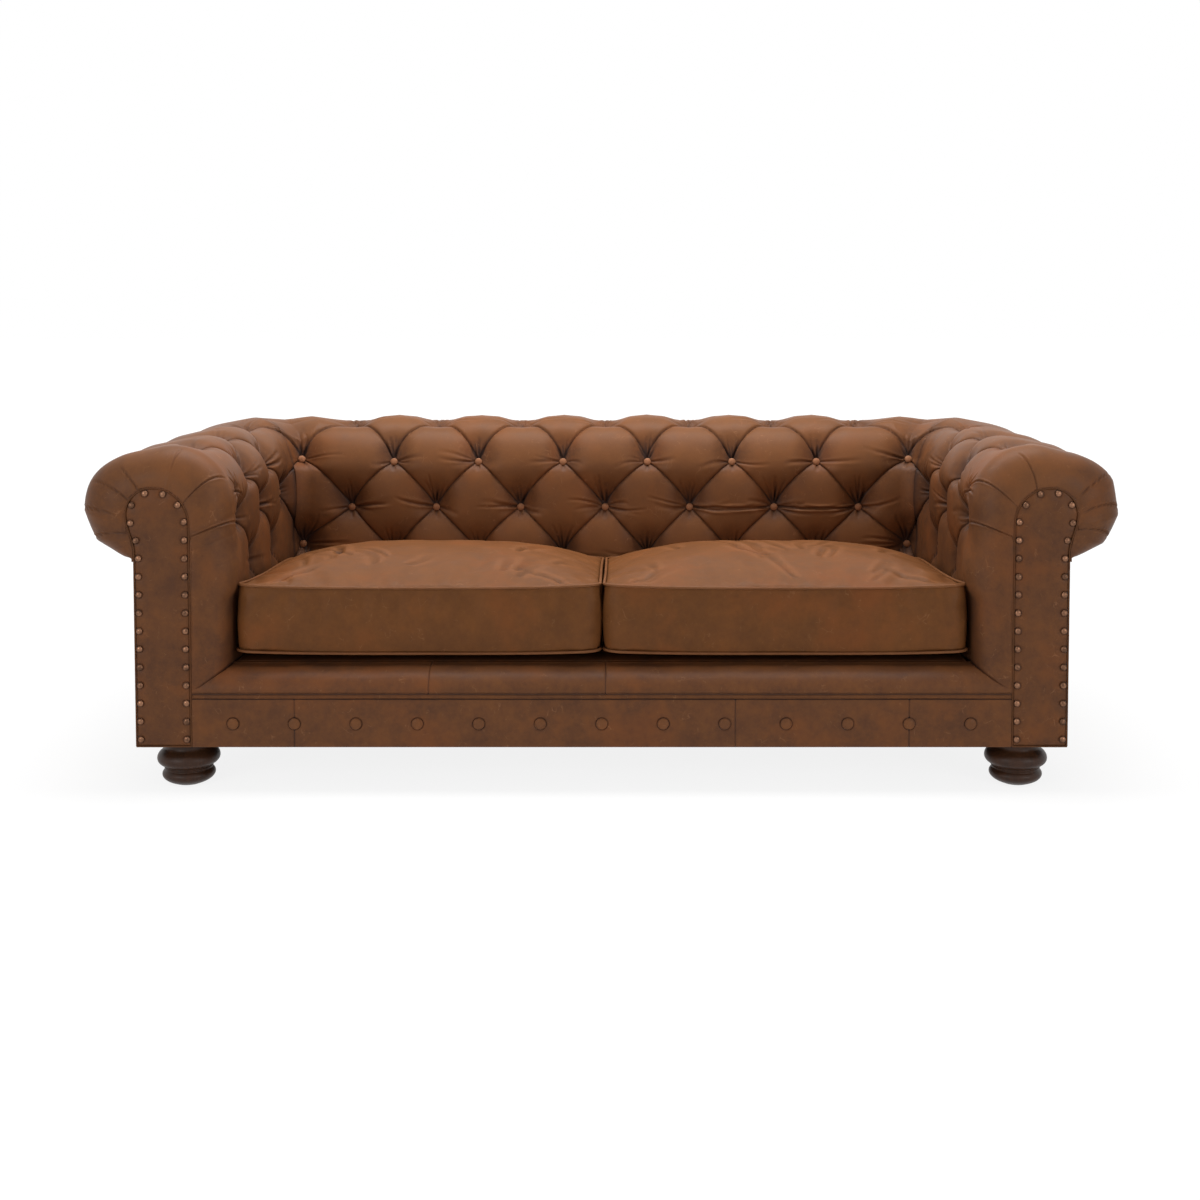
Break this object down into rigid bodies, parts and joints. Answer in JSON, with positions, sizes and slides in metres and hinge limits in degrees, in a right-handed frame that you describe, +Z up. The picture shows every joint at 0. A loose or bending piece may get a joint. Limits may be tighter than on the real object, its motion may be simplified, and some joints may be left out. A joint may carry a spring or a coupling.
{
  "type": "leather sofa",
  "caption": "Two-seat leather sofa with rolled arms and a rolled back of one height, deep buttoned, with nailed arm fronts, loose seat cushions and turned bun feet.",
  "frame": {"origin": "on the floor, under the middle of the sofa's plan", "axes": "+X to the right hand of someone who faces the sofa from in front, +Y to the rear, +Z up"},
  "size_m": [2.2626, 1.0133, 0.753],
  "materials": {
    "leather": "pull-up leather, waxy satin",
    "trim_leather": "pull-up leather, waxy satin",
    "nail_heads": "antiqued",
    "foot_wood": "dark stained, satin",
    "frame_wood": "sawn",
    "liner_board": "plain board",
    "steel": "plain",
    "filling": "foam",
    "underlining": "non-woven cloth",
    "zip_tape": "woven tape"
  },
  "bodies": {
    "sofa": {"front_rail": "frame_wood", "rear_rail": "frame_wood", "left_side_rail": "frame_wood", "right_side_rail": "frame_wood", "centre_rail": "frame_wood", "corner_blocks": "frame_wood", "left_arm_front_post": "frame_wood", "right_arm_front_post": "frame_wood", "left_arm_rear_post": "frame_wood", "right_arm_rear_post": "frame_wood", "left_arm_rail": "frame_wood", "right_arm_rail": "frame_wood", "back_rail": "frame_wood", "back_uprights": "frame_wood", "left_arm_liner": "liner_board", "right_arm_liner": "liner_board", "back_liner": "liner_board", "seat_springs": "steel", "spring_clips": "steel", "deck_pad": "filling", "deck_cover": "leather", "lip_foam": "filling", "front_lip": "leather", "front_band": "leather", "front_welt": "trim_leather", "front_band_buttons": "trim_leather", "left_arm_foam": "filling", "right_arm_foam": "filling", "back_foam": "filling", "left_arm_padding": "leather", "right_arm_padding": "leather", "back_padding": "leather", "left_arm_buttons": "trim_leather", "right_arm_buttons": "trim_leather", "back_buttons": "trim_leather", "left_outside_arm": "leather", "right_outside_arm": "leather", "outside_back": "leather", "left_front_panel": "leather", "right_front_panel": "leather", "left_panel_welt": "trim_leather", "right_panel_welt": "trim_leather", "left_panel_nails": "nail_heads", "right_panel_nails": "nail_heads", "front_left_foot": "foot_wood", "front_right_foot": "foot_wood", "rear_left_foot": "foot_wood", "rear_right_foot": "foot_wood", "foot_bolts": "steel", "dust_cover": "underlining"},
    "left_cushion": {"left_cushion_cover": "leather", "left_cushion_foam": "filling", "left_cushion_welts": "trim_leather", "left_cushion_zip": "zip_tape"},
    "right_cushion": {"right_cushion_cover": "leather", "right_cushion_foam": "filling", "right_cushion_welts": "trim_leather", "right_cushion_zip": "zip_tape"}
  },
  "joints": [
    {"name": "left_cushion_lift", "type": "slide", "parent": "sofa", "child": "left_cushion", "axis": [0, 0, 1], "range_m": [0, 0.3]},
    {"name": "right_cushion_lift", "type": "slide", "parent": "sofa", "child": "right_cushion", "axis": [0, 0, 1], "range_m": [0, 0.3]}
  ]
}
